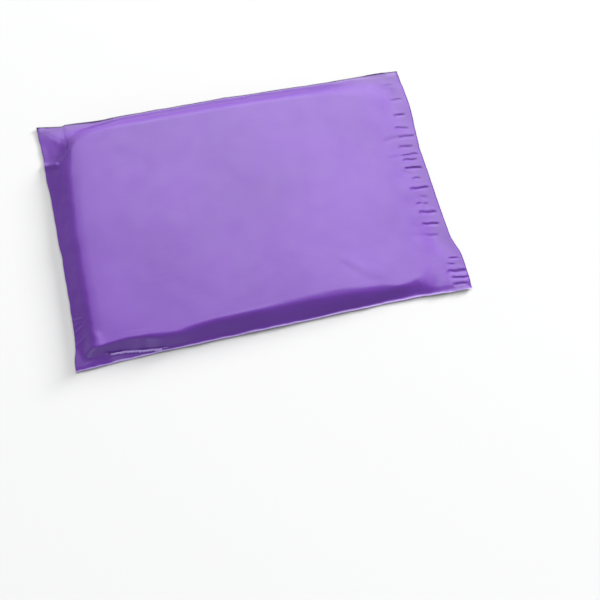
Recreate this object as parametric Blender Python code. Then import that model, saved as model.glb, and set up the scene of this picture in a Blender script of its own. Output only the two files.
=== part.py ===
"""A packed poly mailer bag, lying on its back with its flap open, and the clear document pocket under it.

Metres, +Z up. X runs from the bottom fold to the flap's free edge and Y from the near side weld to the
far one. The origin is the middle of the bag's footprint, on the surface that it lies on.

Each piece starts as a flat sheet in the bag's own plan, where s is the distance from the bottom fold
and t the distance from the near side weld, and is then bent over what it lies on.
"""

import math
from collections import namedtuple

import bmesh
import bpy

# The bag as it is cut and welded, laid flat.
BAG_WIDTH = 0.254
BODY_LENGTH = 0.330
FLAP_LENGTH = 0.050
SIDE_WELD = 0.0022

# Thicknesses. The films are drawn thicker than the real 0.05 to 0.07 mm, so that they make solids.
BAG_FILM = 0.0004
POCKET_FILM = 0.00025
LINER_FILM = 0.00025
ADHESIVE_THICKNESS = 0.0002
CLEARANCE = 0.0003

# The contents, which only show as the form that they give to the front panel. From PACK_FULL_LENGTH on
# the film over them falls, past the mouth, to where the adhesive holds the flap down.
PACK_HEIGHT = 0.0118
PACK_CROWN = 0.0006
PACK_FULL_LENGTH = 0.215
PACK_FALL_POWER = 1.8

# The walls round the contents: their runs over the ground, and the spread of the fold's one to the far side.
SIDE_WALL_RUN = 0.0155
FOLD_LIP = 0.0008
FOLD_WALL_RUN = 0.0125
FOLD_WALL_SPREAD = 0.0095
WALL_FILLET = 0.2

# The rounded corner of the contents at each end of the fold, and the dog-ear that the film makes beside it:
# how wide it is along the fold and how deep along the side, how far it spreads the wall's crest, and how
# high, steep and long its slope up to the contents is.
NEAR_CORNER = 0.0355
NEAR_EAR_WIDTH = 0.028
NEAR_EAR_DEPTH = 0.0132
NEAR_EAR_SPREAD = 0.0095
NEAR_EAR_RISE = 0.0065
NEAR_EAR_SPAN = 0.017
NEAR_EAR_REACH = 0.024
FAR_CORNER = 0.034
FAR_EAR_WIDTH = 0.052
FAR_EAR_DEPTH = 0.0207
FAR_EAR_SPREAD = 0.0065
FAR_EAR_RISE = 0.0028
FAR_EAR_SPAN = 0.020
FAR_EAR_REACH = 0.035
EAR_FADE = 0.011
EAR_COVER = 0.6

# The fin of welded film that stands up along the near wall beside its ear.
FIN_LENGTH = 0.090
FIN_WIDTH = 0.0063
FIN_HEIGHT = 0.0012

# How far the filled bag pulls its edges in from the flat outline.
SIDE_PULL = 0.0028
FOLD_PULL = 0.004
FREE_EDGE_BOW = 0.005
MOUTH_EASE = 0.040

# The document pocket on the back: two clear films that overlap in the middle.
POCKET_START = 0.072
POCKET_END = 0.267
LAP_START = 0.160
LAP_END = 0.187
POCKET_SIDE_INSET = 0.001
JOGGLE_RUN = 0.003

# The adhesive strip and its release liner, under the flap.
LINER_WIDTH = 0.018
LINER_INSET = 0.002
ADHESIVE_WIDTH = 0.012

# Puckers that the adhesive draws in the flap. Two slow waves, each of a size, a rate and a start, make their
# pitch uneven.
PUCKER_HEIGHT = 0.0008
PUCKER_PITCH = 0.0105
PUCKER_EASE = 0.003
PUCKER_WANDER = ((1.3, 0.21, 0.0), (0.8, 0.37, 1.0))

# How each edge swings between the flat outline, 0, and its full pull, 1, and how the two side walls widen
# and soften along the bag. The first number is a share of the bag's width or length.
FOLD_LINE = (
    (0.0, 0.0), (0.04, 0.15), (0.11, 0.85), (0.18, 1.0), (0.42, 1.0), (0.68, 0.70),
    (0.76, 0.38), (0.82, 0.45), (0.90, 0.30), (1.0, 0.0),
)
FREE_LINE = (
    (0.0, 0.20), (0.08, 0.0), (0.14, 0.0), (0.23, 0.96), (0.59, 1.0), (0.85, 0.0), (1.0, 0.16),
)
NEAR_LINE = (
    (0.0, 0.0), (0.08, 0.36), (0.21, 0.80), (0.55, 0.80), (0.66, 1.0), (0.85, 1.0), (0.91, 0.36), (1.0, 0.0),
)
FAR_LINE = (
    (0.0, 0.0), (0.06, 0.93), (0.072, 0.57), (0.16, 0.86), (0.22, 0.64), (0.58, 0.0),
)
NEAR_RUNS = (
    (0.0, 0.95), (0.25, 1.02), (0.39, 0.99), (0.54, 1.15),
    (0.68, 1.02), (0.83, 0.79), (0.91, 1.02), (1.0, 1.15),
)
FAR_RUNS = ((0.0, 0.89), (0.80, 0.89), (0.91, 1.15), (1.0, 1.41))
NEAR_SOFTNESS = (
    (0.16, 0.15), (0.40, 0.28), (0.54, 0.50), (0.68, 0.85), (0.75, 0.60), (0.82, 0.22), (0.91, 0.80),
)
FAR_SOFTNESS = ((0.75, 0.40), (0.91, 0.80))
FOLD_SOFTNESS = ((0.0, 0.20), (0.33, 0.30), (0.51, 0.45), (0.79, 0.50), (1.0, 0.20))
FIN_SWELL = ((0.0, 0.45), (0.33, 1.0), (0.53, 0.92), (0.78, 0.44), (1.0, 0.0))

# Spacing of the sheets' grid lines.
WALL_CELL = 0.0023
EAR_CELL = 0.0042
PANEL_CELL = 0.0095
FLAP_CELL = 0.0046
PUCKER_CELL = 0.0032
MOUTH_STEP = 0.0003

# Facets that bend less than FLAT_ANGLE are one face, and a face is level where its normal's upright part is
# over LEVEL. Edges that bend more than SHARP_ANGLE are shaded sharp.
FLAT_ANGLE = math.radians(0.2)
LEVEL = 0.999999
SHARP_ANGLE = math.radians(40)

# What differs between the near and the far side of the contents.
Side = namedtuple(
    "Side", "corner ear_width ear_depth ear_spread ear_rise ear_span ear_reach fin_width runs softness"
)
NEAR_SIDE = Side(
    NEAR_CORNER, NEAR_EAR_WIDTH, NEAR_EAR_DEPTH, NEAR_EAR_SPREAD, NEAR_EAR_RISE,
    NEAR_EAR_SPAN, NEAR_EAR_REACH, FIN_WIDTH, NEAR_RUNS, NEAR_SOFTNESS,
)
FAR_SIDE = Side(
    FAR_CORNER, FAR_EAR_WIDTH, FAR_EAR_DEPTH, FAR_EAR_SPREAD, FAR_EAR_RISE,
    FAR_EAR_SPAN, FAR_EAR_REACH, 0.0, FAR_RUNS, FAR_SOFTNESS,
)


def take_up(run, rise):
    """Film that a slope uses beyond the ground it covers."""
    return math.hypot(run, rise) - run


PLAN_BODY = (
    BODY_LENGTH
    - take_up(FOLD_WALL_RUN, PACK_HEIGHT)
    - take_up(BODY_LENGTH - PACK_FULL_LENGTH, PACK_HEIGHT)
)
PLAN_LENGTH = PLAN_BODY + FLAP_LENGTH

POCKET_LIFT = POCKET_FILM + CLEARANCE
FLAP_LIFT = LINER_FILM + ADHESIVE_THICKNESS + 2 * CLEARANCE
LINER_END = PLAN_LENGTH - LINER_INSET
LINER_START = LINER_END - LINER_WIDTH
ADHESIVE_START = LINER_START + (LINER_WIDTH - ADHESIVE_WIDTH) / 2
ADHESIVE_END = ADHESIVE_START + ADHESIVE_WIDTH


def ease(value):
    """0 below 0, 1 above 1, and a smooth step between."""
    value = min(max(value, 0.0), 1.0)
    return value * value * (3 - 2 * value)


def ramp(value, start, end):
    """A straight rise from 0 at start to 1 at end."""
    return min(max((value - start) / (end - start), 0.0), 1.0)


def between(value, start, end, margin):
    """1 from start to end, easing to 0 over the margin outside each."""
    return ease((value - start) / margin + 1) * ease((end - value) / margin + 1)


def knot_slope(knots, index):
    """Slope of a curve at one of its knots, which is level at its ends and where it turns."""
    if index in (0, len(knots) - 1):
        return 0.0
    before, here, after = knots[index - 1 : index + 2]
    left = (here[1] - before[1]) / (here[0] - before[0])
    right = (after[1] - here[1]) / (after[0] - here[0])
    if left * right <= 0:
        return 0.0
    return 2 * left * right / (left + right)


def curve(place, knots):
    """A smooth line through (place, height) knots, level beyond its ends, that never overshoots a knot."""
    place = min(max(place, knots[0][0]), knots[-1][0])
    first = 0
    while first < len(knots) - 2 and place > knots[first + 1][0]:
        first += 1
    span = knots[first + 1][0] - knots[first][0]
    rise = knots[first + 1][1] - knots[first][1]
    along = (place - knots[first][0]) / span
    lead = knot_slope(knots, first) * span
    trail = knot_slope(knots, first + 1) * span
    bend = (1 - along) * lead - along * trail + (2 * along - 1) * rise
    return knots[first][1] + along * rise + along * (1 - along) * bend


def nearest_side(t):
    """The side weld that lies nearer, and the distance from it."""
    if t < BAG_WIDTH / 2:
        return NEAR_SIDE, t
    return FAR_SIDE, BAG_WIDTH - t


def plan(s, t):
    """Where a point of the flat sheet comes to lie, in X and Y."""
    along = s / PLAN_LENGTH
    across = t / BAG_WIDTH
    fold_x = FOLD_PULL * curve(across, FOLD_LINE)
    free_x = PLAN_LENGTH - FREE_EDGE_BOW * curve(across, FREE_LINE)
    near_y = SIDE_PULL * curve(along, NEAR_LINE)
    far_y = BAG_WIDTH - SIDE_PULL * curve(along, FAR_LINE)
    x = fold_x + (free_x - fold_x) * along
    y = near_y + (far_y - near_y) * across
    return x - PLAN_LENGTH / 2, y - BAG_WIDTH / 2


def lap_lift(s):
    """How far the upper pocket film is lifted where it laps over the lower one."""
    fall = ramp(s, LAP_END + CLEARANCE, LAP_END + CLEARANCE + JOGGLE_RUN)
    return POCKET_LIFT * (1 - fall)


def back_lift(s):
    """How far the pocket films hold the back panel off the surface."""
    pocket = ramp(s, POCKET_START - CLEARANCE - JOGGLE_RUN, POCKET_START - CLEARANCE)
    pocket -= ramp(s, POCKET_END + CLEARANCE, POCKET_END + CLEARANCE + JOGGLE_RUN)
    lap = ramp(s, LAP_START - CLEARANCE - JOGGLE_RUN, LAP_START - CLEARANCE)
    lap -= ramp(s, LAP_END + CLEARANCE, LAP_END + CLEARANCE + JOGGLE_RUN)
    return POCKET_LIFT * (pocket + lap)


def pucker(s, t):
    """Height of the flap's puckers, which run along the bag and fade out past the liner."""
    phase = 2 * math.pi * t / PUCKER_PITCH
    wander = sum(size * math.sin(rate * phase + start) for size, rate, start in PUCKER_WANDER)
    wave = (1 - math.cos(phase + wander)) / 2
    return PUCKER_HEIGHT * wave * between(s, LINER_START, LINER_END, PUCKER_EASE)


def wall_foot(s, side):
    """Distance from a side weld to the foot of the contents' wall, which the fin moves in."""
    return SIDE_WELD + side.fin_width * curve(s / FIN_LENGTH, FIN_SWELL)


def pack_depth(s, t):
    """Depth inside the outline of the contents, 0 at the foot of their wall and 1 at its crest, and how soft
    the crest is there."""
    side, from_weld = nearest_side(t)
    along = s / PLAN_LENGTH
    across = t / BAG_WIDTH
    ear = 1 - ramp(from_weld, 0, side.ear_width)
    fold_foot = FOLD_LIP + side.ear_depth * ear
    fold_crest = FOLD_LIP + FOLD_WALL_RUN + FOLD_WALL_SPREAD * ease(across) + side.ear_spread * ear
    side_foot = wall_foot(s, side)
    side_crest = SIDE_WELD + SIDE_WALL_RUN * curve(along, side.runs)
    corner = side.corner / SIDE_WALL_RUN
    to_fold = max(corner - (s - fold_foot) / (fold_crest - fold_foot), 0.0)
    to_side = max(corner - (from_weld - side_foot) / (side_crest - side_foot), 0.0)
    reach = math.hypot(to_fold, to_side)
    softness = curve(along, side.softness)
    if reach > 0:
        softness += (curve(across, FOLD_SOFTNESS) - softness) * (to_fold / reach) ** 2
    return corner - reach, softness


def wall_profile(depth, softness):
    """0 to 1 up the wall of the contents: a slope with a fillet at its foot, and a crest that rounds over
    within softness of depth 1."""
    if depth > 1 + softness:
        return 1.0
    climb = depth
    if depth < WALL_FILLET:
        climb = max(depth + WALL_FILLET, 0.0) ** 2 / (4 * WALL_FILLET)
    return climb - max(climb - 1 + softness, 0.0) ** 2 / (4 * softness)


def contents_height(s, t):
    """How high the contents hold the film up, from full to nothing where the adhesive starts."""
    fall = ramp(s, PACK_FULL_LENGTH, ADHESIVE_START)
    crown = PACK_CROWN * math.sin(math.pi * ramp(s, 0, PLAN_BODY)) * math.sin(math.pi * t / BAG_WIDTH)
    return PACK_HEIGHT * (1 - fall**PACK_FALL_POWER) + crown


def ear_slope(s, t):
    """The slope of the dog-ear, from the bag's edges up to the corner of the contents."""
    side, from_weld = nearest_side(t)
    slope = side.ear_rise * ramp(s, 0, side.ear_span) * ramp(from_weld, 0, side.ear_span)
    past_span = ease((s - side.ear_span) / EAR_FADE)
    past_reach = ease((from_weld - side.ear_reach) / EAR_FADE)
    return slope * (1 - past_span) * (1 - past_reach)


def weld_fin(s, t):
    """The fin, which rises from the near weld to the foot of the wall."""
    foot = wall_foot(s, NEAR_SIDE)
    strength = ramp(s, 0, NEAR_EAR_SPAN) * curve(s / FIN_LENGTH, FIN_SWELL)
    return FIN_HEIGHT * strength * ramp(t, 0, foot) * (1 - ease((t - foot) / SIDE_WELD))


def front_height(s, t):
    """The bag's upper face: the front panel over the contents, then the flap."""
    wall = wall_profile(*pack_depth(s, t))
    empty = back_lift(s) * (1 - wall) + 2 * BAG_FILM
    open_end = FLAP_LIFT + BAG_FILM
    base = empty + (open_end - empty) * ease((s - PLAN_BODY) / MOUTH_EASE + 1)
    fill = contents_height(s, t) * wall
    ear = max(ear_slope(s, t) - EAR_COVER * fill, 0.0)
    return base + fill + ear + weld_fin(s, t) + pucker(s, t)


def back_height(s, t):
    """The bag's lower face: the back panel on the surface, then the underside of the flap."""
    if s > PLAN_BODY:
        return front_height(s, t) - BAG_FILM
    return back_lift(s)


def grid_lines(start, stops):
    """Grid lines from start through each (position, largest cell) of stops."""
    lines = [start]
    for position, cell in stops:
        first = lines[-1]
        count = max(1, math.ceil((position - first) / cell - 1e-6))
        lines += [first + (position - first) * n / count for n in range(1, count + 1)]
    return lines


def flat_sheet(across, along):
    """A flat grid with its lines at the given distances along and across the bag."""
    mesh = bmesh.new()
    columns = len(along) - 1
    rows = len(across) - 1
    grid = bmesh.ops.create_grid(mesh, x_segments=columns, y_segments=rows, size=1)
    for vert in grid["verts"]:
        column = round((vert.co.x + 1) / 2 * columns)
        row = round((vert.co.y + 1) / 2 * rows)
        vert.co = (along[column], across[row], 0)
    return mesh


def split_flap_rows(mesh, coarse):
    """Finer lines along the flap, for its puckers, where the grid's cells are wider than coarse."""
    edges = []
    for edge in mesh.edges:
        first, second = edge.verts
        crossing = abs(first.co.y - second.co.y)
        on_flap = min(first.co.x, second.co.x) > PLAN_BODY + MOUTH_STEP / 2
        if on_flap and crossing > coarse:
            edges.append(edge)
    cuts = math.ceil(PANEL_CELL / PUCKER_CELL) - 1
    bmesh.ops.subdivide_edges(mesh, edges=edges, cuts=cuts, use_grid_fill=True)


def bend_and_close(mesh, lower, upper):
    """Gives the flat sheet a second layer with the same facets, and bends the two to its two faces."""
    front = list(mesh.verts)
    extruded = bmesh.ops.extrude_face_region(mesh, geom=mesh.faces[:], use_keep_orig=True)
    back = [item for item in extruded["geom"] if isinstance(item, bmesh.types.BMVert)]
    for layer, height in ((front, upper), (back, lower)):
        for vert in layer:
            s, t = vert.co.x, vert.co.y
            x, y = plan(s, t)
            vert.co = (x, y, height(s, t))
    bmesh.ops.recalc_face_normals(mesh, faces=mesh.faces[:])
    mesh.normal_update()


def plain_material(name, colour, roughness, alpha=1.0):
    material = bpy.data.materials.new(name)
    material.use_nodes = True
    shader = material.node_tree.nodes["Principled BSDF"]
    shader.inputs["Base Color"].default_value = (*colour, 1)
    shader.inputs["Roughness"].default_value = roughness
    shader.inputs["Metallic"].default_value = 0
    shader.inputs["Alpha"].default_value = alpha
    return material


def add_piece(name, mesh, material, parent, collection):
    """A named object from a bmesh in the bag's frame, with its own origin under the middle of the piece."""
    xs = [vert.co.x for vert in mesh.verts]
    zs = [vert.co.z for vert in mesh.verts]
    origin = ((min(xs) + max(xs)) / 2, 0, min(zs))
    bmesh.ops.translate(mesh, verts=mesh.verts[:], vec=[-value for value in origin])
    data = bpy.data.meshes.new(name)
    mesh.to_mesh(data)
    mesh.free()
    data.shade_smooth()
    data.set_sharp_from_angle(angle=SHARP_ANGLE)
    data.materials.append(material)
    piece = bpy.data.objects.new(name, data)
    piece.location = origin
    piece.parent = parent
    collection.objects.link(piece)
    return piece


def mailer_bag(parent, collection):
    """Front panel, back panel and flap: one film, folded at the bottom and welded down both sides."""
    fold_zone = FOLD_LIP + FOLD_WALL_RUN + FOLD_WALL_SPREAD + FAR_EAR_SPREAD
    joggle = CLEARANCE + JOGGLE_RUN
    along = grid_lines(
        0,
        [
            (FOLD_LIP, WALL_CELL),
            (fold_zone, WALL_CELL),
            (POCKET_START - joggle, PANEL_CELL),
            (POCKET_START - CLEARANCE, PANEL_CELL),
            (LAP_START - joggle, PANEL_CELL),
            (LAP_START - CLEARANCE, PANEL_CELL),
            (LAP_END + CLEARANCE, PANEL_CELL),
            (LAP_END + joggle, PANEL_CELL),
            (POCKET_END + CLEARANCE, PANEL_CELL),
            (POCKET_END + joggle, PANEL_CELL),
            (PLAN_BODY, PANEL_CELL),
            (PLAN_BODY + MOUTH_STEP, PANEL_CELL),
            (PLAN_LENGTH, FLAP_CELL),
        ],
    )
    near_wall = SIDE_WELD + SIDE_WALL_RUN
    near_ear = max(near_wall, NEAR_EAR_REACH) + EAR_FADE
    far_wall = BAG_WIDTH - near_wall
    far_ear = BAG_WIDTH - max(near_wall, FAR_EAR_REACH) - EAR_FADE
    across = grid_lines(
        0,
        [
            (SIDE_WELD, SIDE_WELD),
            (near_wall, WALL_CELL),
            (near_ear, EAR_CELL),
            (far_ear, PANEL_CELL),
            (far_wall, EAR_CELL),
            (BAG_WIDTH - SIDE_WELD, WALL_CELL),
            (BAG_WIDTH, SIDE_WELD),
        ],
    )
    mesh = flat_sheet(across, along)
    split_flap_rows(mesh, coarse=2 * EAR_CELL)
    bmesh.ops.triangulate(mesh, faces=mesh.faces[:])
    bend_and_close(mesh, back_height, front_height)
    underside = {face for face in mesh.faces if face.normal.z < -0.5}
    edges = [edge for edge in mesh.edges if underside.intersection(edge.link_faces)]
    verts = [vert for vert in mesh.verts if underside.intersection(vert.link_faces)]
    bmesh.ops.dissolve_limit(mesh, angle_limit=FLAT_ANGLE, verts=verts, edges=edges)
    film = plain_material("purple_film", (0.34, 0.18, 0.64), 0.32)
    return add_piece("mailer_bag", mesh, film, parent, collection)


def film_strip(name, start, end, inset, lower, thickness, material, parent, collection):
    """A thin strip across the bag from start to end, bent to the height that lower gives at each s."""
    across = grid_lines(inset, [(BAG_WIDTH - inset, PANEL_CELL)])
    stops = [LAP_END + CLEARANCE, LAP_END + CLEARANCE + JOGGLE_RUN]
    inner = [(stop, PANEL_CELL) for stop in stops if start < stop < end]
    along = grid_lines(start, inner + [(end, PANEL_CELL)])
    mesh = flat_sheet(across, along)
    bend_and_close(mesh, lambda s, t: lower(s), lambda s, t: lower(s) + thickness)
    level = [edge for edge in mesh.edges if all(abs(face.normal.z) > LEVEL for face in edge.link_faces)]
    bmesh.ops.dissolve_limit(mesh, angle_limit=FLAT_ANGLE, verts=[], edges=level)
    return add_piece(name, mesh, material, parent, collection)


def main():
    for old in list(bpy.data.objects):
        bpy.data.objects.remove(old)
    collection = bpy.data.collections.new("poly_mailer_bag")
    bpy.context.scene.collection.children.link(collection)
    bag = bpy.data.objects.new("bag_frame", None)
    collection.objects.link(bag)

    mailer_bag(bag, collection)

    clear = plain_material("clear_film", (0.86, 0.84, 0.90), 0.12, alpha=0.3)
    film_strip(
        "pocket_film_lower", POCKET_START, LAP_END, POCKET_SIDE_INSET,
        lambda s: 0.0, POCKET_FILM, clear, bag, collection,
    )
    film_strip(
        "pocket_film_upper", LAP_START, POCKET_END, POCKET_SIDE_INSET,
        lap_lift, POCKET_FILM, clear, bag, collection,
    )

    film_strip(
        "release_liner", LINER_START, LINER_END, 0.0,
        lambda s: 0.0, LINER_FILM, plain_material("liner_film", (0.80, 0.80, 0.82), 0.35), bag, collection,
    )
    film_strip(
        "adhesive_strip", ADHESIVE_START, ADHESIVE_END, 0.0,
        lambda s: LINER_FILM + CLEARANCE, ADHESIVE_THICKNESS,
        plain_material("hot_melt_adhesive", (0.82, 0.78, 0.66), 0.45), bag, collection,
    )


main()
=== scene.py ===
"""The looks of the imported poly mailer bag: its glossy purple film over the contents, the clear document
pocket on its back, and the grey inner face, adhesive and liner of its flap.

s is the distance along the bag from its bottom fold and t the distance across it from the near side
weld, both in metres. Every sheet is laid out flat in s and t and then bent to its place.
"""

import math

import bmesh
import bpy
import numpy as np
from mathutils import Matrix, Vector


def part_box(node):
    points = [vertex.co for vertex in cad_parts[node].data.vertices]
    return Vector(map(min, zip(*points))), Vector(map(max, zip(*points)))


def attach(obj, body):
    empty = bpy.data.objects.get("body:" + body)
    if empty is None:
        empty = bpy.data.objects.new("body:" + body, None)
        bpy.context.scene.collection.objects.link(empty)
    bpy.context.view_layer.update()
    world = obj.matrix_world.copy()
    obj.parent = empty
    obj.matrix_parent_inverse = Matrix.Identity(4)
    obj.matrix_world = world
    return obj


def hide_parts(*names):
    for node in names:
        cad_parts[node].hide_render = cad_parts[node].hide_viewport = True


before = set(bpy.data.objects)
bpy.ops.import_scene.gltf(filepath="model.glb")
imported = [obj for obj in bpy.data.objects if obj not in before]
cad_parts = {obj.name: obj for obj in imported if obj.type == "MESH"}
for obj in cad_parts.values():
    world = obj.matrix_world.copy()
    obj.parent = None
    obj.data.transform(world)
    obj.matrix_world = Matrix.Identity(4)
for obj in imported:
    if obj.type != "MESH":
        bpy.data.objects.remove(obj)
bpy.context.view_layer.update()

BAG_LOW, BAG_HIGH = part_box("mailer_bag")
LINER_LOW, LINER_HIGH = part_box("release_liner")
GLUE_LOW, GLUE_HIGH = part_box("adhesive_strip")
LOWER_LOW, LOWER_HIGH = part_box("pocket_film_lower")
UPPER_LOW, UPPER_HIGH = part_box("pocket_film_upper")

LENGTH = BAG_HIGH.x - BAG_LOW.x
WIDTH = BAG_HIGH.y - BAG_LOW.y
FLAP = 0.050
MOUTH = LENGTH - FLAP

# The photograph's view.
CAMERA_LENS = 46.84
CAMERA_PLACE = (-0.10233, -0.33869, 0.67669)
CAMERA_AIM = (0.0219, -0.10293, 0)
CAMERA_ROLL = math.radians(14.463)

# Film thicknesses and the small steps of the layers under the bag. Inside the bag the front piece is closed
# by a hidden face at HIDDEN_LEVEL: it leaves the film HIDDEN_START in from the edges, rises over HIDDEN_RUN,
# and from HIDDEN_POLYGON on it is one polygon.
FILM = 0.00018
WELD_THICKNESS = 0.00045
POCKET = LOWER_HIGH.z - LOWER_LOW.z
POCKET_LIFT = POCKET + 0.0003
POCKET_START = LOWER_LOW.x - BAG_LOW.x
POCKET_END = UPPER_HIGH.x - BAG_LOW.x
LAP_START = UPPER_LOW.x - BAG_LOW.x
LAP_END = LOWER_HIGH.x - BAG_LOW.x
JOGGLE = 0.003
HIDDEN_LEVEL = 0.0020
HIDDEN_START = 0.0105
HIDDEN_RUN = 0.0045
HIDDEN_POLYGON = 0.0155
FLAP_LIFT = GLUE_HIGH.z + 0.0003

# Height of the contents along the bag, and how the film falls past the mouth to the flap's free end.
PACK_HEIGHT = (
    (0.000, 0.0112), (0.040, 0.0118), (0.215, 0.0118), (0.250, 0.0107), (0.290, 0.0079), (0.311, 0.0061),
    (0.3246, 0.0047), (0.340, 0.0026), (0.352, 0.0010), (0.362, 0.0001), (0.3746, 0.0),
)
PACK_CROWN = 0.0006

# Where the walls of the contents start and end across the bag, and how soft their crests are.
NEAR_FOOT = (
    (0.000, 0.0050), (0.025, 0.0085), (0.041, 0.0080), (0.061, 0.0050), (0.080, 0.0022), (0.250, 0.0025),
    (0.320, 0.0030), (0.345, 0.0020), (0.375, 0.0020),
)
NEAR_CREST = (
    (0.000, 0.0145), (0.020, 0.0145), (0.048, 0.0158), (0.062, 0.0143), (0.078, 0.0104), (0.092, 0.0096),
    (0.112, 0.0132), (0.158, 0.0140), (0.188, 0.0142), (0.216, 0.0137), (0.245, 0.0127), (0.273, 0.0115),
    (0.302, 0.0122), (0.325, 0.0150), (0.341, 0.0180), (0.375, 0.0200),
)
NEAR_SOFTNESS = (
    (0.000, 0.15), (0.055, 0.15), (0.080, 0.50), (0.095, 0.50), (0.112, 0.30), (0.150, 0.34), (0.204, 0.60),
    (0.253, 0.88), (0.281, 0.80), (0.305, 0.22), (0.322, 0.30), (0.341, 0.80),
)
FAR_FOOT = ((0.000, 0.0022), (0.330, 0.0020))
FAR_CREST = ((0.000, 0.0160), (0.300, 0.0160), (0.340, 0.0200), (0.375, 0.0240))
FAR_SOFTNESS = ((0.000, 0.40), (0.280, 0.40), (0.340, 0.80))

# The wall at the bottom fold, by the distance across the bag. Its foot leaves the fold at the two ears.
FOLD_FOOT = (
    (0.000, 0.0120), (0.012, 0.0065), (0.028, 0.0008), (0.205, 0.0008), (0.212, 0.0055), (0.218, 0.0125),
    (0.224, 0.0170), (0.232, 0.0150), (0.240, 0.0100), (0.254, 0.0060),
)
FOLD_CREST = (
    (0.000, 0.0270), (0.013, 0.0170), (0.024, 0.0160), (0.037, 0.0155), (0.083, 0.0150), (0.119, 0.0155),
    (0.160, 0.0175), (0.200, 0.0210), (0.217, 0.0245), (0.224, 0.0290), (0.232, 0.0370), (0.240, 0.0450),
    (0.254, 0.0560),
)
FOLD_SOFTNESS = ((0.000, 0.25), (0.035, 0.25), (0.083, 0.30), (0.190, 0.30), (0.254, 0.45))
FOLD_ROLL = ((0.000, 0.10), (0.035, 0.25), (0.083, 0.36), (0.190, 0.36), (0.220, 0.20), (0.254, 0.30))

# The corners of the contents, as multiples of the walls' runs, and how sharply two walls meet there.
CORNER = 1.9
NEAR_SHARPNESS = 5
FAR_SHARPNESS = 2
WALL_FILLET = 0.22
ROLL_END = 1.85

# The dog-ears: how steeply they rise from the bag's edges, or how high and over what span.
NEAR_EAR_SLOPE = 0.13
NEAR_EAR_SIDE_SLOPE = 0.36
FAR_EAR_RISE = 0.0038
FAR_EAR_SPAN = 0.022

# The ridge down the near packed corner, the bump in the far ear, the dent beside the near one, and the
# creases along the bottom fold: for each its place across the bag, its lean along it, and its strength.
SPINE_LINE = ((0.004, 0.0310), (0.009, 0.0255), (0.023, 0.0210), (0.038, 0.0180))
SPINE_HEIGHT, SPINE_WIDTH = 0.0004, 0.0040
BUMP_HEIGHT, BUMP_WIDTH, BUMP_PLACE, BUMP_LEAN = 0.0018, 0.0032, 0.209, 0.2
DENT_DEPTH, DENT_WIDTH, DENT_PLACE = 0.0009, 0.0050, (0.0080, 0.0255)
FOLD_CREASES = ((0.0230, 0.5, 1.0), (0.0350, 0.4, 0.8), (0.0420, 0.1, 0.6), (0.0475, -0.2, 1.0))
CREASE_HEIGHT, CREASE_WIDTH = 0.0009, 0.0013

# The turned-up fin of the near weld: where it starts and ends, and the heights of its slope and its ridge.
FIN_START, FIN_END = 0.031, 0.078
FIN_RISE = 0.0010
FIN_RIDGE, FIN_RIDGE_WIDTH = 0.0016, 0.0009

# The tension fold from the front panel down to the near wall.
TENSION_LINE = ((0.250, 0.052), (0.259, 0.044), (0.277, 0.028), (0.306, 0.018))
TENSION_HEIGHT = 0.0002

# Relief of the film: heights of the wrinkles in the walls, of the long and the short waves over the contents
# and of the rim along the near crest, and the slack of the back panel and of the pocket.
WRINKLE_HEIGHT = 0.00012
LONG_WAVE, SHORT_WAVE = 0.00026, 0.000036
RIM_HEIGHT = 0.00025
BACK_SLACK = 0.00012
POCKET_SLACK = 0.00008
EMBOSS_HEIGHT, EMBOSS_WIDTH = 0.00009, 0.0012

# The melted beads of the side welds, and how far the margins lift off the surface over what width.
BEAD_HEIGHT, BEAD_WIDTH, BEAD_INSET = 0.0003, 0.0006, 0.0008
FLUTTER, FLUTTER_WIDTH = 0.0003, 0.004
CURL = 0.0006

# Edges of the bag, pulled in by its filling: bottom fold, free edge, near and far side.
FOLD_EDGE = (
    (0.000, 0.0), (0.010, 0.0006), (0.028, 0.0034), (0.045, 0.0040), (0.106, 0.0040), (0.129, 0.0032),
    (0.172, 0.0028), (0.194, 0.0015), (0.209, 0.0018), (0.229, 0.0012), (0.254, 0.0),
)
FREE_EDGE = (
    (0.000, -0.0010), (0.021, 0.0), (0.035, 0.0), (0.058, -0.0048), (0.088, -0.0052), (0.150, -0.0050),
    (0.215, 0.0), (0.254, -0.0008),
)
NEAR_EDGE = (
    (0.000, 0.0), (0.031, 0.0010), (0.078, 0.0022), (0.204, 0.0022), (0.247, 0.0028), (0.318, 0.0028),
    (0.341, 0.0010), (0.3746, 0.0),
)
FAR_EDGE = (
    (0.000, 0.0), (0.021, -0.0026), (0.0245, -0.0028), (0.027, -0.0016), (0.061, -0.0024), (0.082, -0.0018),
    (0.216, 0.0), (0.3746, 0.0),
)

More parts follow.
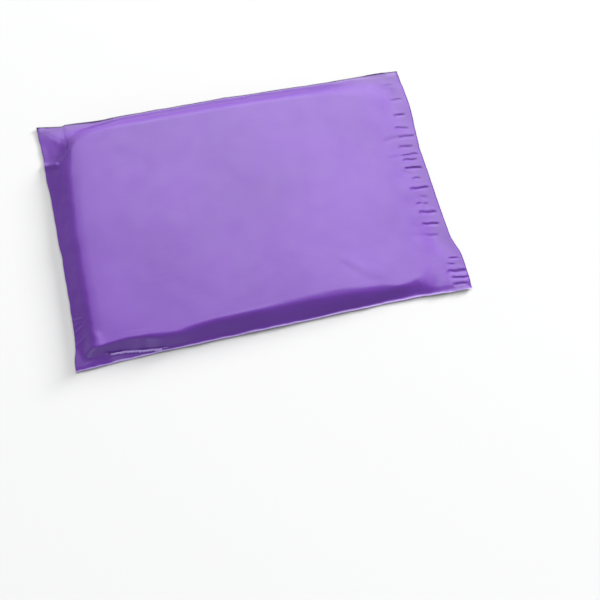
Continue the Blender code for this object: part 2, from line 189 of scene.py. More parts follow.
# Puckers in the flap over its adhesive. For each: the distances from the fold and from the near side at which
# it starts and ends, its strength, and its width.
PUCKERS = (
    (0.3545, 0.2370, 0.3650, 0.2360, 0.25, 0.0014), (0.3560, 0.2185, 0.3680, 0.2175, 0.50, 0.0013),
    (0.3545, 0.1995, 0.3665, 0.1990, 0.70, 0.0013), (0.3530, 0.1845, 0.3670, 0.1830, 0.75, 0.0014),
    (0.3540, 0.1735, 0.3715, 0.1725, 0.80, 0.0016), (0.3370, 0.1700, 0.3540, 0.1735, 0.40, 0.0022),
    (0.3525, 0.1620, 0.3670, 0.1610, 0.65, 0.0015), (0.3525, 0.1515, 0.3705, 0.1520, 0.70, 0.0010),
    (0.3380, 0.1500, 0.3530, 0.1515, 0.30, 0.0018), (0.3525, 0.1470, 0.3670, 0.1450, 0.80, 0.0013),
    (0.3515, 0.1370, 0.3690, 0.1355, 1.00, 0.0012), (0.3475, 0.1330, 0.3560, 0.1310, 0.35, 0.0022),
    (0.3560, 0.1245, 0.3640, 0.1240, 0.60, 0.0012), (0.3500, 0.1130, 0.3690, 0.1125, 0.95, 0.0013),
    (0.3580, 0.1030, 0.3650, 0.1025, 0.35, 0.0015), (0.3510, 0.0965, 0.3570, 0.0960, 0.60, 0.0012),
    (0.3590, 0.0950, 0.3630, 0.0950, 0.60, 0.0012), (0.3510, 0.0865, 0.3685, 0.0845, 0.90, 0.0014),
    (0.3505, 0.0735, 0.3670, 0.0720, 0.80, 0.0011), (0.3505, 0.0610, 0.3620, 0.0600, 0.40, 0.0013),
    (0.3350, 0.0620, 0.3500, 0.0610, 0.20, 0.0022), (0.3605, 0.0340, 0.3690, 0.0330, 0.55, 0.0009),
    (0.3575, 0.0285, 0.3640, 0.0275, 0.50, 0.0009), (0.3555, 0.0205, 0.3740, 0.0180, 0.80, 0.0015),
    (0.3580, 0.0135, 0.3740, 0.0115, 0.90, 0.0011), (0.3570, 0.0070, 0.3700, 0.0060, 0.60, 0.0012),
)
PUCKER_DEPTH = 0.00075
PUCKER_WIDTH = 1.3

# The front piece's materials after its purple one, in the order in which they are added: grey, painted
# highlight, painted shade.
GREY_INDEX, NEAR_HIGHLIGHT_INDEX, EDGE_SHADE_INDEX = 1, 2, 3

# Grids: the width of the outermost row of faces, the cells of the flat pieces, and from where on the flap's
# cells are halved.
EDGE_ROW = 0.0008
BACK_CELL = 0.0030
STRIP_CELL = 0.0020
FINER_FROM = 0.346

# The strips under the flap: start and end before the free edge, their inset from the sides, their thickness.
LINER_SPAN = (0.020, 0.002)
GLUE_SPAN = (0.017, 0.005)
STRIP_INSET = 0.0005
STRIP_FILM = 0.0002
POCKET_INSET = 0.001

# Colours, each from a darker to a lighter one where the film is uneven.
PURPLE = ((0.089, 0.012, 0.244), (0.101, 0.017, 0.272))
# Painted shade: a darker purple for the far margin, where that side of the bag gets less light.
FAR_SIDE_SHADE_PAINT = (0.080, 0.013, 0.216)
# A painted highlight: the pale glint line along the near weld's edge and the ridge of its fin.
NEAR_HIGHLIGHT_PAINT = (0.42, 0.30, 0.66)
# Painted shade: a dark outline along the far and the free edge.
EDGE_SHADE_PAINT = (0.020, 0.004, 0.050)
SILVER_GREY = ((0.55, 0.55, 0.60), (0.66, 0.66, 0.71))
CLEAR = ((0.80, 0.78, 0.86), (0.92, 0.90, 0.96))
CLEAR_ALPHA = 0.15
LINER_WHITE = ((0.74, 0.74, 0.78), (0.84, 0.84, 0.87))
HOT_MELT = ((0.74, 0.70, 0.58), (0.84, 0.80, 0.68))
FLOOR_GREY = (0.535, 0.535, 0.535)


def ease(value):
    """0 below 0, 1 above 1, and a smooth step between."""
    value = np.clip(value, 0.0, 1.0)
    return value * value * (3 - 2 * value)


def ramp(value, start, end):
    """0 before start, 1 after end, and a straight line between."""
    return np.clip((value - start) / (end - start), 0.0, 1.0)


def between(value, start, end, margin):
    """1 from start to end, easing to 0 over the margin outside each."""
    return ease((value - start) / margin + 1) * ease((end - value) / margin + 1)


def curve(value, knots):
    """A smooth line through (place, height) knots, level beyond its ends, that never overshoots a knot."""
    places, heights = np.array(knots).T
    secants = np.diff(heights) / np.diff(places)
    product = secants[:-1] * secants[1:]
    slopes = np.zeros_like(heights)
    rising = product > 0
    slopes[1:-1][rising] = 2 * product[rising] / (secants[:-1] + secants[1:])[rising]
    value = np.clip(value, places[0], places[-1])
    first = np.clip(np.searchsorted(places, value) - 1, 0, len(places) - 2)
    span = places[first + 1] - places[first]
    along = (value - places[first]) / span
    rise = heights[first + 1] - heights[first]
    lead, trail = slopes[first] * span, slopes[first + 1] * span
    bend = (1 - along) * lead - along * trail + (2 * along - 1) * rise
    return heights[first] + along * rise + along * (1 - along) * bend


def ridge(offset, width):
    """A bell of height 1 round offset 0."""
    return np.exp(-((offset / width) ** 2))


def ripples(s, t, size, seed, stretch=1.0, count=18):
    """Smooth random waves of about one unit, with crests about size apart, longer along s by stretch."""
    rng = np.random.default_rng(seed)
    total = np.zeros_like(s)
    for _ in range(count):
        angle = rng.uniform(0, math.pi)
        length = size * rng.uniform(0.6, 1.7)
        phase = rng.uniform(0, 2 * math.pi)
        along = math.cos(angle) / stretch
        total += np.sin(2 * math.pi * (s * along + t * math.sin(angle)) / length + phase)
    return total / math.sqrt(count)


def edge_ripples(place, size, seed):
    """Smooth random waves along one edge."""
    return ripples(place, 0 * place, size, seed)


def plan(s, t):
    """Where a point of the flat sheet comes to lie, in X and Y."""
    fold_x = curve(t, FOLD_EDGE) + 0.00015 * edge_ripples(t, 0.02, 11)
    free_x = LENGTH + curve(t, FREE_EDGE) + 0.0001 * edge_ripples(t, 0.012, 12)
    near_y = curve(s, NEAR_EDGE) + 0.00015 * edge_ripples(s, 0.03, 13)
    far_y = WIDTH + curve(s, FAR_EDGE) + 0.00015 * edge_ripples(s, 0.03, 14)
    x = fold_x + (free_x - fold_x) * s / LENGTH
    y = near_y + (far_y - near_y) * t / WIDTH
    return x + BAG_LOW.x, y + BAG_LOW.y


def back_lift(s):
    """How far the pocket films hold the back panel off the surface."""
    pocket = ramp(s, POCKET_START - JOGGLE, POCKET_START) - ramp(s, POCKET_END, POCKET_END + JOGGLE)
    lap = ramp(s, LAP_START - JOGGLE, LAP_START) - ramp(s, LAP_END, LAP_END + JOGGLE)
    return POCKET_LIFT * (pocket + lap)


def edge_flutter(s, t):
    """How far the welded margins lift off the surface."""
    near = FLUTTER + FLUTTER * edge_ripples(s, 0.028, 21)
    far = 0.0005 + FLUTTER * edge_ripples(s, 0.03, 22)
    fold = 0.0002 + 0.0002 * edge_ripples(t, 0.025, 23)
    near_lift = near.clip(0) * ridge(t, FLUTTER_WIDTH)
    far_lift = far.clip(0) * ridge(WIDTH - t, FLUTTER_WIDTH)
    return near_lift + far_lift + fold.clip(0) * ridge(s, FLUTTER_WIDTH)


def weld_bead(s, t):
    """The melted edge of each side weld, uneven along the bag."""
    near = 1 + 0.5 * edge_ripples(s, 0.011, 24)
    far = 1 + 0.5 * edge_ripples(s, 0.013, 25)
    near_bead = near.clip(0) * ridge(t - BEAD_INSET, BEAD_WIDTH)
    far_bead = far.clip(0) * ridge(WIDTH - t - BEAD_INSET, BEAD_WIDTH)
    return BEAD_HEIGHT * (near_bead + far_bead)


def pack_inside(s, t):
    """Depth inside the outline of the contents, 0 at the foot of their side and 1 at its crest, how soft
    the crest is there, and how much of the height rolls on gently past it."""
    fold_foot = curve(t, FOLD_FOOT)
    from_fold = (s - fold_foot) / (curve(t, FOLD_CREST) - fold_foot)
    near_foot, far_foot = curve(s, NEAR_FOOT), curve(s, FAR_FOOT)
    from_near = (t - near_foot) / (curve(s, NEAR_CREST) - near_foot)
    from_far = (WIDTH - t - far_foot) / (curve(s, FAR_CREST) - far_foot)
    near_half = t < WIDTH / 2
    from_side = np.where(near_half, from_near, from_far)
    sharpness = np.where(near_half, NEAR_SHARPNESS, FAR_SHARPNESS)
    gap_fold, gap_side = np.maximum(CORNER - from_fold, 0), np.maximum(CORNER - from_side, 0)
    inside = CORNER - (gap_fold**sharpness + gap_side**sharpness) ** (1 / sharpness)
    side_softness = np.where(near_half, curve(s, NEAR_SOFTNESS), curve(s, FAR_SOFTNESS))
    share = gap_fold**2 / (gap_fold**2 + gap_side**2 + 1e-9)
    softness = side_softness + (curve(t, FOLD_SOFTNESS) - side_softness) * share
    return inside, softness, curve(t, FOLD_ROLL) * share


def wall_profile(inside, softness, roll):
    """0 to 1 up the side of the contents: a slope with a fillet at its foot, and a crest that rounds over
    within softness of inside 1. The share roll of it rises gently until ROLL_END."""
    foot = np.clip(inside + WALL_FILLET, 0, None) ** 2 / (4 * WALL_FILLET)
    climb = np.where(inside < WALL_FILLET, foot, inside)
    bent = climb - np.clip(climb - 1 + softness, 0, 2 * softness) ** 2 / (4 * softness)
    steep = np.where(climb > 1 + softness, 1, bent)
    gentle = 1 - (1 - np.clip(climb / ROLL_END, 0, 1)) ** 2
    return steep + (gentle - steep) * roll


def ears(s, t):
    """The slopes of the two dog-eared corners, which rise from the bag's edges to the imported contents."""
    from_far = WIDTH - t
    along, across = NEAR_EAR_SLOPE * s, NEAR_EAR_SIDE_SLOPE * t
    lower, upper = np.minimum(along, across), np.maximum(along, across)
    near = lower * (1 - 0.12 * lower / (upper + 1e-6))
    near = near * (1 - ease((s - 0.0265) / 0.009)) * (1 - ease((t - 0.022) / 0.012))
    lower, upper = np.minimum(s, 1.1 * from_far), np.maximum(s, 1.1 * from_far)
    far = np.clip((lower - 0.30 * lower**3 / (upper**2 + 1e-9)) / FAR_EAR_SPAN, 0, 1)
    far = far * (1 - ease((s - 0.030) / 0.030)) * (1 - ease((from_far - 0.042) / 0.010))
    return near + FAR_EAR_RISE * far


def corner_folds(s, t):
    """The ridge that runs down the near packed corner, and the small creases along the bottom fold."""
    spine = ridge(s - curve(t, SPINE_LINE), SPINE_WIDTH) * between(t, 0.010, 0.024, 0.008)
    bump_height = ridge(t - BUMP_PLACE + BUMP_LEAN * s, BUMP_WIDTH) * between(s, 0.0, 0.010, 0.006)
    dent_s, dent_t = DENT_PLACE
    dent = ridge(np.hypot(s - dent_s, 0.8 * (t - dent_t)), DENT_WIDTH)
    creases = np.zeros_like(s)
    for place, lean, strength in FOLD_CREASES:
        reach = between(s, 0.001, 0.004 + 0.004 * strength, 0.004)
        creases += strength * ridge(t - place - lean * s, CREASE_WIDTH) * reach
    return SPINE_HEIGHT * spine + BUMP_HEIGHT * bump_height + CREASE_HEIGHT * creases - DENT_DEPTH * dent


def near_fin(s, t):
    """The weld's fin at the near left, turned up to a bright ridge where the wall meets it."""
    foot = curve(s, NEAR_FOOT)
    strength = between(s, FIN_START, FIN_END, 0.006)
    rise = FIN_RISE * np.clip(t / foot, 0, 1) * (1 - ease((t - foot) / 0.001))
    line = FIN_RIDGE * ridge(t - foot + 0.0005, FIN_RIDGE_WIDTH)
    return strength * (rise + line)


def tension_fold(s, t):
    """The soft tension fold that runs down from the front panel to the crest of the near wall."""
    place = curve(s, TENSION_LINE)
    strength = between(s, 0.262, 0.285, 0.012)
    return TENSION_HEIGHT * strength * (ridge(t - place - 0.005, 0.008) - ridge(t - place + 0.004, 0.006))


def puckers(s, t):
    """Short creases in the flap where it is stuck down, each with a soft bulge on its far side."""
    total = np.zeros_like(s)
    wander = 0.0004 * ripples(s, t, 0.009, 51)
    for start, start_t, end, end_t, strength, width in PUCKERS:
        width *= PUCKER_WIDTH
        reach = between(s, start + 0.002, end - 0.0015, 0.003)
        offset = t - start_t - (end_t - start_t) * (s - start) / (end - start) + wander
        total += strength * reach * (0.3 * ridge(offset - 1.6 * width, 1.3 * width) - ridge(offset, width))
    stuck = between(s, GLUE_LOW.x - BAG_LOW.x, GLUE_HIGH.x - BAG_LOW.x, 0.0012)
    return PUCKER_DEPTH * total - 0.00006 * stuck


def edge_curl(s, t):
    """The film's cut free edge and its welded far edge turn down a little."""
    free = ease((s - LENGTH + 0.0012) / 0.0012)
    far = ease((t - WIDTH + 0.0010) / 0.0010) * ease((s - 0.05) / 0.05)
    return -CURL * np.maximum(free, far)


def front_height(s, t):
    """The bag's upper face: the front panel over the contents, then the flap."""
    inside, softness, roll = pack_inside(s, t)
    wall = wall_profile(inside, softness, roll)
    empty = back_lift(s) * (1 - ease((s - MOUTH) / 0.01)) * (1 - wall) + WELD_THICKNESS
    open_end = FLAP_LIFT + FILM
    base = empty + (open_end - empty) * ease((s - MOUTH) / 0.04 + 1)
    crown = PACK_CROWN * np.sin(math.pi * np.clip(s / MOUTH, 0, 1)) * np.sin(math.pi * t / WIDTH)
    slope = between(inside, 0.15, 0.85, 0.4)
    wall_wrinkles = WRINKLE_HEIGHT * slope * ripples(s, t, 0.012, 41)
    soft = wall * (LONG_WAVE * ripples(s, t, 0.11, 42) + SHORT_WAVE * ripples(s, t, 0.035, 43))
    rim = RIM_HEIGHT * ridge(inside - 1.15, 0.22) * between(s, 0.17, 0.25, 0.04) * (t < WIDTH / 2)
    fill = (curve(s, PACK_HEIGHT) + crown + soft + rim) * wall
    middle = between(t, 0.008, WIDTH - 0.008, 0.007)
    flap_wave = (0.0003 + 0.0007 * middle) * ease((s - MOUTH + 0.02) / 0.04)
    flap_wave += 0.0002 * ripples(s, t, 0.035, 44) * ease((s - MOUTH) / 0.02)
    height = base + fill + np.maximum(ears(s, t) - 0.6 * fill, 0) + corner_folds(s, t) + near_fin(s, t)
    height = height + wall_wrinkles + tension_fold(s, t) + flap_wave + edge_flutter(s, t) + weld_bead(s, t)
    return np.maximum(height, base) + puckers(s, t) + edge_curl(s, t)


def lines(start, stops):
    """Grid lines from start through each (position, spacing) of stops."""
    found = [start]
    for position, spacing in stops:
        first = found[-1]
        count = max(1, round((position - first) / spacing))
        found += [first + (position - first) * n / count for n in range(1, count + 1)]
    return np.array(found)


def flat_grid(along, across):
    """A flat sheet in s and t."""
    s, t = np.meshgrid(along, across, indexing="ij")
    points = np.column_stack((s.ravel(), t.ravel(), np.zeros(s.size)))
    index = np.arange(s.size).reshape(s.shape)
    corners = (index[:-1, :-1], index[1:, :-1], index[1:, 1:], index[:-1, 1:])
    quads = np.column_stack([corner.ravel() for corner in corners])
    mesh = bpy.data.meshes.new("sheet")
    mesh.from_pydata(points.tolist(), [], quads.tolist())
    return mesh


def closed_sheet(name, along, across, upper, lower, level_part=None, finer_from=None):
    """A closed body between the faces that upper and lower give, over a flat grid. Where level_part says
    so its lower face is one polygon, and from finer_from on its cells are halved across."""
    mesh = flat_grid(along, across)
    work = bmesh.new()
    work.from_mesh(mesh)
    if finer_from is not None:
        crossing = []
        for edge in work.edges:
            first, second = edge.verts
            if min(first.co.x, second.co.x) > finer_from and abs(first.co.y - second.co.y) > 1e-6:
                crossing.append(edge)
        bmesh.ops.subdivide_edges(work, edges=crossing, cuts=1, use_grid_fill=True)
    extruded = bmesh.ops.extrude_face_region(work, geom=work.faces[:], use_keep_orig=True)
    for item in extruded["geom"]:
        if isinstance(item, bmesh.types.BMVert):
            item.co.z = 1
    if level_part is not None:
        level = []
        for face in work.faces:
            middle = face.calc_center_median()
            if max(vert.co.z for vert in face.verts) < 0.5 and level_part(middle.x, middle.y):
                level.append(face)
        bmesh.ops.dissolve_faces(work, faces=level, use_verts=False)
    bmesh.ops.recalc_face_normals(work, faces=work.faces[:])
    work.to_mesh(mesh)
    work.free()
    points = np.empty(len(mesh.vertices) * 3)
    mesh.vertices.foreach_get("co", points)
    points = points.reshape(-1, 3)
    s, t, top = points[:, 0].copy(), points[:, 1].copy(), points[:, 2] > 0.5
    points[:, 0], points[:, 1] = plan(s, t)
    points[:, 2] = np.where(top, upper(s, t), lower(s, t))
    mesh.vertices.foreach_set("co", points.ravel())
    mesh.shade_smooth()
    mesh.update()
    mesh.set_sharp_from_angle(angle=math.radians(60))
    piece = bpy.data.objects.new(name, mesh)
    bpy.context.scene.collection.objects.link(piece)
    return piece


def node_material(name):
    """A new material, its node tree and its shader."""
    material = bpy.data.materials.new(name)
    material.use_nodes = True
    tree = material.node_tree
    shader = tree.nodes["Principled BSDF"]
    return material, tree, shader


def noise(tree, scale, detail=2.0, stretch=(1, 1, 1)):
    """Noise over the piece's own place, in metres, finer as scale grows."""
    place = tree.nodes.new("ShaderNodeTexCoord")
    mapping = tree.nodes.new("ShaderNodeMapping")
    mapping.inputs["Scale"].default_value = stretch
    texture = tree.nodes.new("ShaderNodeTexNoise")
    texture.inputs["Scale"].default_value = scale
    texture.inputs["Detail"].default_value = detail
    tree.links.new(place.outputs["Object"], mapping.inputs["Vector"])
    tree.links.new(mapping.outputs["Vector"], texture.inputs["Vector"])
    return texture.outputs["Fac"]


def remap(tree, value, low, high):
    """The value, spread from low to high."""
    node = tree.nodes.new("ShaderNodeMapRange")
    node.inputs["From Min"].default_value = 0.3
    node.inputs["From Max"].default_value = 0.7
    node.inputs["To Min"].default_value = low
    node.inputs["To Max"].default_value = high
    tree.links.new(value, node.inputs["Value"])
    return node.outputs["Result"]


def mixed(tree, value, first, second):
    """A colour between first and second, by value."""
    node = tree.nodes.new("ShaderNodeMix")
    node.data_type = "RGBA"
    node.inputs["A"].default_value = (*first, 1)
    node.inputs["B"].default_value = (*second, 1)
    tree.links.new(value, node.inputs["Factor"])
    return node.outputs["Result"]


def bump(tree, shader, layers):
    """Chains bumps of (height, strength, distance in metres) into the shader's normal."""
    normal = None
    for height, strength, distance in layers:
        node = tree.nodes.new("ShaderNodeBump")
        node.inputs["Strength"].default_value = strength
        node.inputs["Distance"].default_value = distance
        tree.links.new(height, node.inputs["Height"])
        if normal is not None:
            tree.links.new(normal, node.inputs["Normal"])
        normal = node.outputs["Normal"]
    tree.links.new(normal, shader.inputs["Normal"])


def weld_margin(tree):
    """1 along the welded sides of the bag, where the melted film is smoother, and 0 elsewhere."""
    place = tree.nodes.new("ShaderNodeTexCoord")
    split = tree.nodes.new("ShaderNodeSeparateXYZ")
    size = tree.nodes.new("ShaderNodeMath")
    size.operation = "ABSOLUTE"
    spread = tree.nodes.new("ShaderNodeMapRange")
    spread.inputs["From Min"].default_value = WIDTH / 2 - 0.0060
    spread.inputs["From Max"].default_value = WIDTH / 2 - 0.0035
    tree.links.new(place.outputs["Object"], split.inputs["Vector"])
    tree.links.new(split.outputs["Y"], size.inputs[0])
    tree.links.new(size.outputs["Value"], spread.inputs["Value"])
    return spread.outputs["Result"]


def purple_film():
    """Glossy co-extruded film: an opaque purple skin with faint draw lines along the web, and painted shade
    that darkens it along the far side."""
    material, tree, shader = node_material("purple_film")
    tone = remap(tree, noise(tree, 14, 3), 0, 1)
    colour = mixed(tree, tone, *PURPLE)
    place = tree.nodes.new("ShaderNodeTexCoord")
    split = tree.nodes.new("ShaderNodeSeparateXYZ")
    # Painted shade: the colour darkens from 16 mm in from the far edge and is fully dark over the last 8 mm.
    far_shade_mask = tree.nodes.new("ShaderNodeMapRange")
    far_shade_mask.inputs["From Min"].default_value = WIDTH / 2 - 0.016
    far_shade_mask.inputs["From Max"].default_value = WIDTH / 2 - 0.008
    shaded = tree.nodes.new("ShaderNodeMix")
    shaded.data_type = "RGBA"
    shaded.inputs["B"].default_value = (*FAR_SIDE_SHADE_PAINT, 1)
    tree.links.new(place.outputs["Object"], split.inputs["Vector"])
    tree.links.new(split.outputs["Y"], far_shade_mask.inputs["Value"])
    tree.links.new(far_shade_mask.outputs["Result"], shaded.inputs["Factor"])
    tree.links.new(colour, shaded.inputs["A"])
    tree.links.new(shaded.outputs["Result"], shader.inputs["Base Color"])
    film = remap(tree, noise(tree, 60, 2), 0.34, 0.40)
    margin = weld_margin(tree)
    blend = tree.nodes.new("ShaderNodeMix")
    tree.links.new(margin, blend.inputs["Factor"])
    tree.links.new(film, blend.inputs["A"])
    blend.inputs["B"].default_value = 0.22
    tree.links.new(blend.outputs["Result"], shader.inputs["Roughness"])
    shader.inputs["IOR"].default_value = 1.6
    draw_lines = noise(tree, 420, 2, stretch=(0.08, 1, 1))
    grain = noise(tree, 900, 1)
    bump(tree, shader, [(draw_lines, 0.12, 0.0004), (grain, 0.06, 0.0002)])
    return material


def edge_light_paint(name, colour):
    """The outermost row of film along an edge, in a colour that paints light or shade on it: the painted
    highlight of the near weld or the painted shade of the far and the free edge.
    """
    material, tree, shader = node_material(name)
    darker = tuple(0.85 * part for part in colour)
    tone = remap(tree, noise(tree, 120, 2), 0, 1)
    tree.links.new(mixed(tree, tone, darker, colour), shader.inputs["Base Color"])
    tree.links.new(remap(tree, noise(tree, 200, 2), 0.22, 0.34), shader.inputs["Roughness"])
    bump(tree, shader, [(noise(tree, 600, 2), 0.2, 0.0003)])
    return material


def grey_film():
    """The film's silver-grey inner skin."""
    material, tree, shader = node_material("grey_film")
    tone = remap(tree, noise(tree, 30, 3), 0, 1)
    colour = mixed(tree, tone, *SILVER_GREY)
    tree.links.new(colour, shader.inputs["Base Color"])
    tree.links.new(remap(tree, noise(tree, 80, 2), 0.34, 0.46), shader.inputs["Roughness"])
    bump(tree, shader, [(noise(tree, 300, 3), 0.15, 0.0004)])
    return material


def clear_film():
    """The clear glossy film of the document pocket."""
    material, tree, shader = node_material("clear_film")
    tone = remap(tree, noise(tree, 40, 3), 0, 1)
    colour = mixed(tree, tone, *CLEAR)
    tree.links.new(colour, shader.inputs["Base Color"])
    tree.links.new(remap(tree, noise(tree, 90, 2), 0.08, 0.18), shader.inputs["Roughness"])
    shader.inputs["Alpha"].default_value = CLEAR_ALPHA
    bump(tree, shader, [(noise(tree, 120, 3, stretch=(0.3, 1, 1)), 0.3, 0.0006)])
    return material


def liner_film():
    """The white siliconised liner over the adhesive."""
    material, tree, shader = node_material("liner_film")
    tone = remap(tree, noise(tree, 50, 3), 0, 1)
    colour = mixed(tree, tone, *LINER_WHITE)
    tree.links.new(colour, shader.inputs["Base Color"])
    tree.links.new(remap(tree, noise(tree, 90, 2), 0.25, 0.4), shader.inputs["Roughness"])
    bump(tree, shader, [(noise(tree, 200, 3, stretch=(0.4, 1, 1)), 0.3, 0.0005)])
    return material


def glue():
    """The tacky hot-melt strip."""
    material, tree, shader = node_material("hot_melt_adhesive")
    tone = remap(tree, noise(tree, 150, 3), 0, 1)
    colour = mixed(tree, tone, *HOT_MELT)
    tree.links.new(colour, shader.inputs["Base Color"])
    tree.links.new(remap(tree, noise(tree, 200, 2), 0.3, 0.5), shader.inputs["Roughness"])
    bump(tree, shader, [(noise(tree, 500, 3), 0.4, 0.0004)])
    return material


def finished(piece, material, slot, *nodes):
    """Gives a piece its material, hides the CAD nodes it stands for, and attaches it to the body it rides on.
    The slot is not used.
    """
    piece.data.materials.append(material)
    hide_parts(*nodes)
    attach(piece, "root")
    return piece


def make_front(purple, grey):
    """The front panel and the flap: one film. As far as the mouth it stands for the contents too, and its
    hidden lower face rises inside the bag, clear of the back panel's relief."""
    along = lines(
        0,
        [
            (0.036, 0.0010), (0.25, 0.0034), (MOUTH, 0.0028), (MOUTH + 0.0003, 0.0003), (0.347, 0.0022),
            (LENGTH - EDGE_ROW, 0.0013), (LENGTH, EDGE_ROW),
        ],
    )
    across = lines(0, [(0.010, 0.0005), (WIDTH - 0.010, 0.0008), (WIDTH, 0.0005)])
    # A painted highlight on the near weld's edge and fin ridge, and painted shade on the far and the free
    # edge.
    near_highlight_material = edge_light_paint("near_weld_painted_highlight", NEAR_HIGHLIGHT_PAINT)
    edge_shade_material = edge_light_paint("far_edges_painted_shade", EDGE_SHADE_PAINT)

    def from_edge(s, t):
        return np.minimum(np.minimum(s, MOUTH - s), np.minimum(t, WIDTH - t))

    def under(s, t):
        film = back_lift(s) + FILM + edge_flutter(s, t)
        body = film + (HIDDEN_LEVEL - film) * ease((from_edge(s, t) - HIDDEN_START) / HIDDEN_RUN)
        return np.where(s > MOUTH + 0.0001, front_height(s, t) - FILM, body)

    piece = closed_sheet(
        "front_panel_and_flap", along, across, front_height, under,
        level_part=lambda s, t: from_edge(s, t) > HIDDEN_POLYGON, finer_from=FINER_FROM,
    )
    finished(piece, purple, "bag_film", "mailer_bag")
    for material in (grey, near_highlight_material, edge_shade_material):
        piece.data.materials.append(material)
    piece.data.polygons.foreach_set("material_index", front_materials(piece.data))
    return piece


def front_materials(mesh):
    """Which material each face has: purple, or grey under the flap, a painted highlight along the near weld
    and the ridge of its fin, or painted shade along the far and the free edge."""
    spots = np.array([face.center for face in mesh.polygons])
    down = np.array([face.normal.z for face in mesh.polygons]) < -0.3
    row_s = np.linspace(0, LENGTH, 600)
    near_x, near_y = plan(row_s, 0 * row_s + EDGE_ROW)
    far_x, far_y = plan(row_s, 0 * row_s + WIDTH - EDGE_ROW)
    row_t = np.linspace(0, WIDTH, 400)
    free_x, free_y = plan(0 * row_t + LENGTH - EDGE_ROW, row_t)
    index = np.zeros(len(spots), dtype=int)
    # Painted shade along the far and the free edge, and a painted highlight along the near edge and the fin's
    # ridge.
    index[spots[:, 1] > np.interp(spots[:, 0], far_x, far_y) - 0.0006] = EDGE_SHADE_INDEX
    index[spots[:, 0] > np.interp(spots[:, 1], free_y, free_x)] = EDGE_SHADE_INDEX
    index[spots[:, 1] < np.interp(spots[:, 0], near_x, near_y)] = NEAR_HIGHLIGHT_INDEX
    fin_s = np.linspace(FIN_START + 0.001, FIN_END, 100)
    fin_x, fin_y = plan(fin_s, curve(fin_s, NEAR_FOOT) - 0.0006)
    on_fin = np.abs(spots[:, 1] - np.interp(spots[:, 0], fin_x, fin_y)) < 0.0007
    index[on_fin & (spots[:, 0] > fin_x[0]) & (spots[:, 0] < fin_x[-1])] = NEAR_HIGHLIGHT_INDEX
    mouth_x, mouth_y = plan(0 * row_t + MOUTH, row_t)
    index[down & (spots[:, 0] > np.interp(spots[:, 1], mouth_y, mouth_x) - 0.0001)] = GREY_INDEX
    return index


def make_back(purple):
    """The back panel, from the bottom fold to the mouth."""
    along = lines(0, [(MOUTH, BACK_CELL)])
    across = lines(0, [(WIDTH, BACK_CELL)])

    def under(s, t):
        inner = between(s, 0.016, MOUTH - 0.010, 0.010) * between(t, 0.014, WIDTH - 0.014, 0.010)
        waves = ripples(s, t, 0.024, 61, stretch=1.6) + ripples(s, t, 0.05, 62)
        return back_lift(s) + edge_flutter(s, t) + BACK_SLACK * inner * waves.clip(0)

    piece = closed_sheet("back_panel", along, across, lambda s, t: under(s, t) + FILM * 0.9, under)
    return finished(piece, purple, "bag_film", "mailer_bag")


def make_strip(name, start, end, inset, bottom, thickness, material, slot, node):
    """A strip of film across the bag, from start to end along it and inset from its sides."""
    along = lines(start, [(end, STRIP_CELL)])
    across = lines(inset, [(WIDTH - inset, STRIP_CELL)])
    piece = closed_sheet(name, along, across, lambda s, t: bottom(s, t) + thickness, bottom)
    return finished(piece, material, slot, node)


def weld_lines(s, t, places):
    """The narrow embossed lines where a pocket film is welded to the bag."""
    return sum(EMBOSS_HEIGHT * ridge(s - place, EMBOSS_WIDTH) for place in places)


def pocket_slack(s, t, start, end, seed):
    """How far a pocket film lifts off between start and end, away from its welds."""
    loose = between(s, start, end, 0.006) * between(t, 0.010, WIDTH - 0.010, 0.006)
    return POCKET_SLACK * loose * ripples(s, t, 0.026, seed, stretch=2.5).clip(0)


def lower_pocket(s, t):
    """The lower face of the pocket film beside the bottom fold."""
    slack = pocket_slack(s, t, POCKET_START + 0.012, LAP_END - 0.003, 63)
    return slack + weld_lines(s, t, (POCKET_START + 0.004, POCKET_START + 0.007))


def upper_pocket(s, t):
    """The lower face of the pocket film that laps over the other one."""
    lift = POCKET_LIFT * (1 - ramp(s, LAP_END + 0.0003, LAP_END + JOGGLE))
    slack = pocket_slack(s, t, LAP_END + 0.008, POCKET_END - 0.012, 64)
    return lift + slack + weld_lines(s, t, (POCKET_END - 0.007, POCKET_END - 0.004))


def liner_bottom(s, t):
    """The lower face of the liner."""
    return LINER_LOW.z + 0.00005 * ripples(s, t, 0.012, 65, stretch=0.4).clip(0)


def glue_bottom(s, t):
    """The lower face of the adhesive."""
    return GLUE_LOW.z + 0.00003 * ripples(s, t, 0.004, 66)


def make_stage():
    """The plain pale floor."""
    bpy.ops.mesh.primitive_plane_add(size=8, location=(0, 0, -0.0004))
    floor = bpy.context.object
    floor.name = "floor"
    material, tree, shader = node_material("floor")
    shader.inputs["Base Color"].default_value = (*FLOOR_GREY, 1)
    shader.inputs["Roughness"].default_value = 0.9
    floor.data.materials.append(material)


def add_area(name, place, size, energy, colour=(1, 1, 1)):
    """A rectangular light that shines at the bag."""
    light = bpy.data.lights.new(name, "AREA")
    light.shape = "RECTANGLE"
    light.size, light.size_y = size
    light.energy = energy
    light.color = colour
    lamp = bpy.data.objects.new(name, light)
    lamp.location = place
    lamp.rotation_euler = (-Vector(place)).to_track_quat("-Z", "Y").to_euler()
    bpy.context.scene.collection.objects.link(lamp)
    return lamp


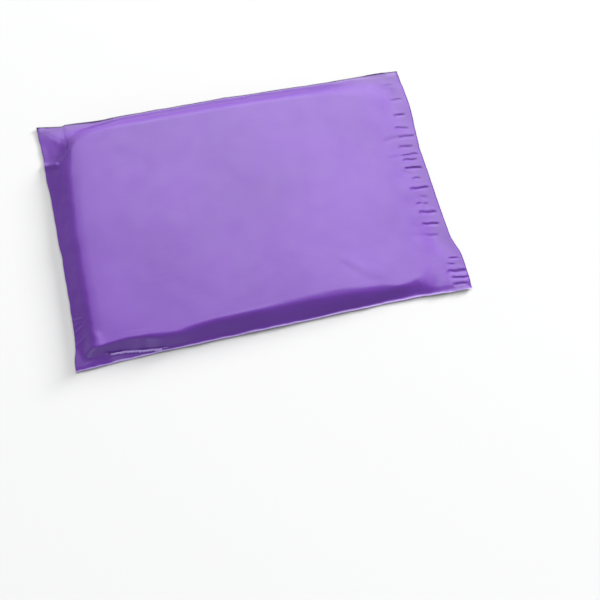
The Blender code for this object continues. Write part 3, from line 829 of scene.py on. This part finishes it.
def make_light():
    """Soft studio light: a large softbox that the plateau reflects, a strip that only the far walls reflect,
    a cool fill from the near side, and a small key that only casts the shadows."""
    world = bpy.data.worlds.new("studio")
    world.use_nodes = True
    background = world.node_tree.nodes["Background"]
    background.inputs["Color"].default_value = (1, 1, 1, 1)
    background.inputs["Strength"].default_value = 0.50
    bpy.context.scene.world = world
    add_area("softbox", (3.8, 7.0, 11.0), (13.6, 10.4), 1760)
    rim = add_area("rim", (2.0, 11.0, 5.2), (14, 7.5), 780)
    rim.visible_diffuse = False
    add_area("fill", (-5.0, -8.0, 2.2), (6, 3), 165, (0.66, 0.72, 1.0))
    key = add_area("key", (7.6, 4.6, 2.6), (2.2, 2.2), 2080)
    key.visible_glossy = False
    bpy.context.scene.view_settings.view_transform = "Standard"
    bpy.context.scene.view_settings.exposure = 0


def make_camera():
    """The photograph's view: from the near side, a little to the fold's side, and well above."""
    camera_data = bpy.data.cameras.new("camera")
    camera = bpy.data.objects.new("camera", camera_data)
    bpy.context.scene.collection.objects.link(camera)
    camera_data.sensor_fit = "HORIZONTAL"
    camera_data.sensor_width = 36
    camera_data.lens = CAMERA_LENS
    camera.location = CAMERA_PLACE
    aim = Vector(CAMERA_AIM) - Vector(CAMERA_PLACE)
    camera.rotation_euler = aim.to_track_quat("-Z", "Y").to_euler()
    camera.rotation_euler.rotate_axis("Z", CAMERA_ROLL)
    bpy.context.scene.camera = camera


make_camera()
make_light()
make_stage()

purple = purple_film()
make_front(purple, grey_film())
make_back(purple)
clear = clear_film()
make_strip(
    "pocket_sheet_lower", POCKET_START, LAP_END, POCKET_INSET, lower_pocket, POCKET * 0.6, clear,
    "clear_film", "pocket_film_lower",
)
make_strip(
    "pocket_sheet_upper", LAP_START, POCKET_END, POCKET_INSET, upper_pocket, POCKET * 0.6, clear,
    "clear_film", "pocket_film_upper",
)
make_strip(
    "liner_strip", LENGTH - LINER_SPAN[0], LENGTH - LINER_SPAN[1], STRIP_INSET, liner_bottom, STRIP_FILM,
    liner_film(), "liner", "release_liner",
)
make_strip(
    "glue_strip", LENGTH - GLUE_SPAN[0], LENGTH - GLUE_SPAN[1], STRIP_INSET, glue_bottom, STRIP_FILM,
    glue(), "adhesive", "adhesive_strip",
)
